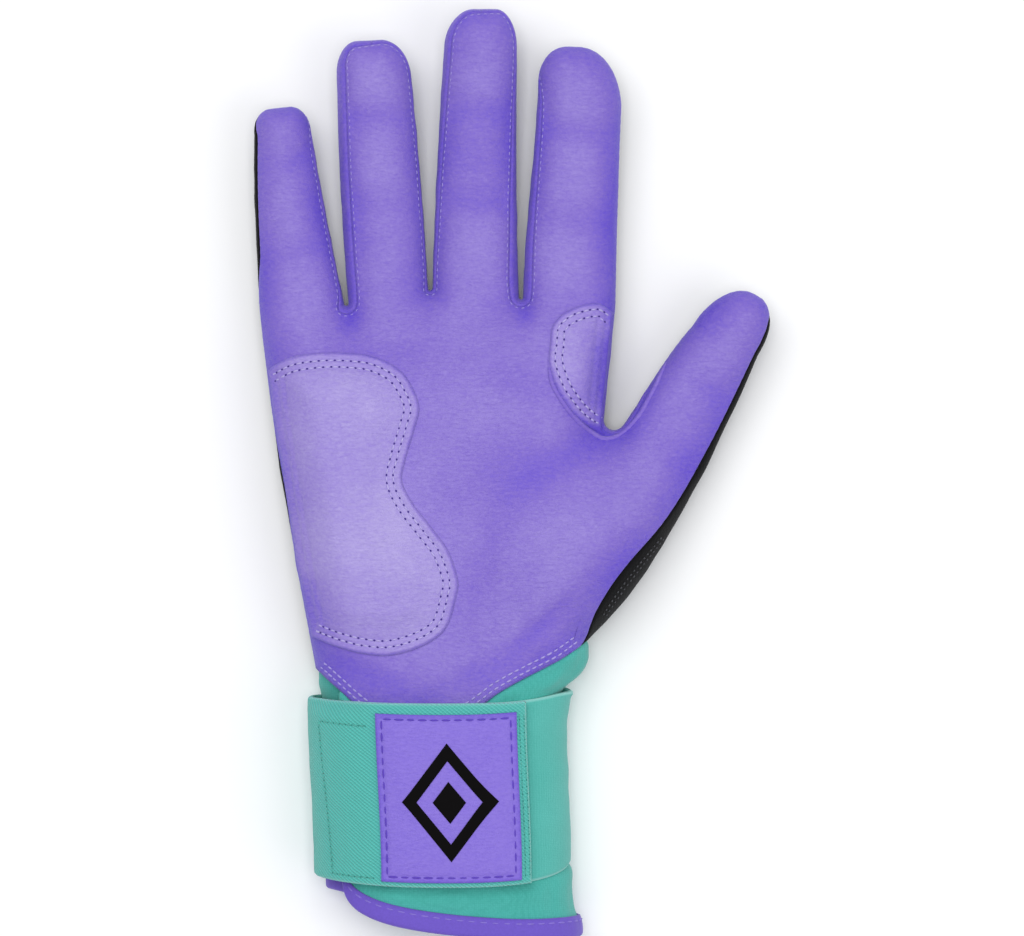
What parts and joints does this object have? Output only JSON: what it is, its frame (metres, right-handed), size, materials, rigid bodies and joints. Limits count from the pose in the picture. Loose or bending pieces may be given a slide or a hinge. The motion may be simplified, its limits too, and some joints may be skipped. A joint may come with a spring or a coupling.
{
  "type": "batting glove",
  "caption": "Right-hand batting glove with a lilac leather palm, padded heel patch, black fabric back, teal cuff and a peeling wrist strap.",
  "frame": {"origin": "on the flat of the glove's back, under the middle of the palm", "axes": "+Z out of the palm, +Y along the glove to the fingertips, +X to the thumb side"},
  "size_m": [0.1481, 0.2693, 0.0371],
  "materials": {
    "palm_leather": "smooth sheepskin, satin",
    "patch_leather": "smooth sheepskin, satin",
    "strap_leather": "fine grain, matte",
    "foam": "open cell",
    "back_fabric": "stretch knit",
    "cuff_neoprene": "knit-faced neoprene",
    "binding_tape": "woven tape",
    "band_fabric": "brushed loop knit",
    "strap_fabric": "ribbed twill",
    "fastener": "hook and loop"
  },
  "bodies": {
    "glove": {"palm_panel": "palm_leather", "heel_pad": "foam", "heel_patch": "patch_leather", "index_patch": "patch_leather", "fourchette_little_ring": "palm_leather", "fourchette_ring_middle": "palm_leather", "fourchette_middle_index": "palm_leather", "web_gusset": "palm_leather", "back_panel": "back_fabric", "thumb_back_panel": "back_fabric", "cuff": "cuff_neoprene", "cuff_binding": "binding_tape", "wrist_band": "band_fabric", "loop_panel": "fastener"},
    "strap": {"strap_tab": "strap_fabric", "hook_panel": "fastener", "strap_patch": "strap_leather"}
  },
  "joints": [
    {"name": "strap_peel", "type": "hinge", "parent": "glove", "child": "strap", "pos_m": [-0.0342, -0.0822, 0.0089], "axis": [0.0392, -0.9992, 0], "range_deg": [0, 140]}
  ]
}
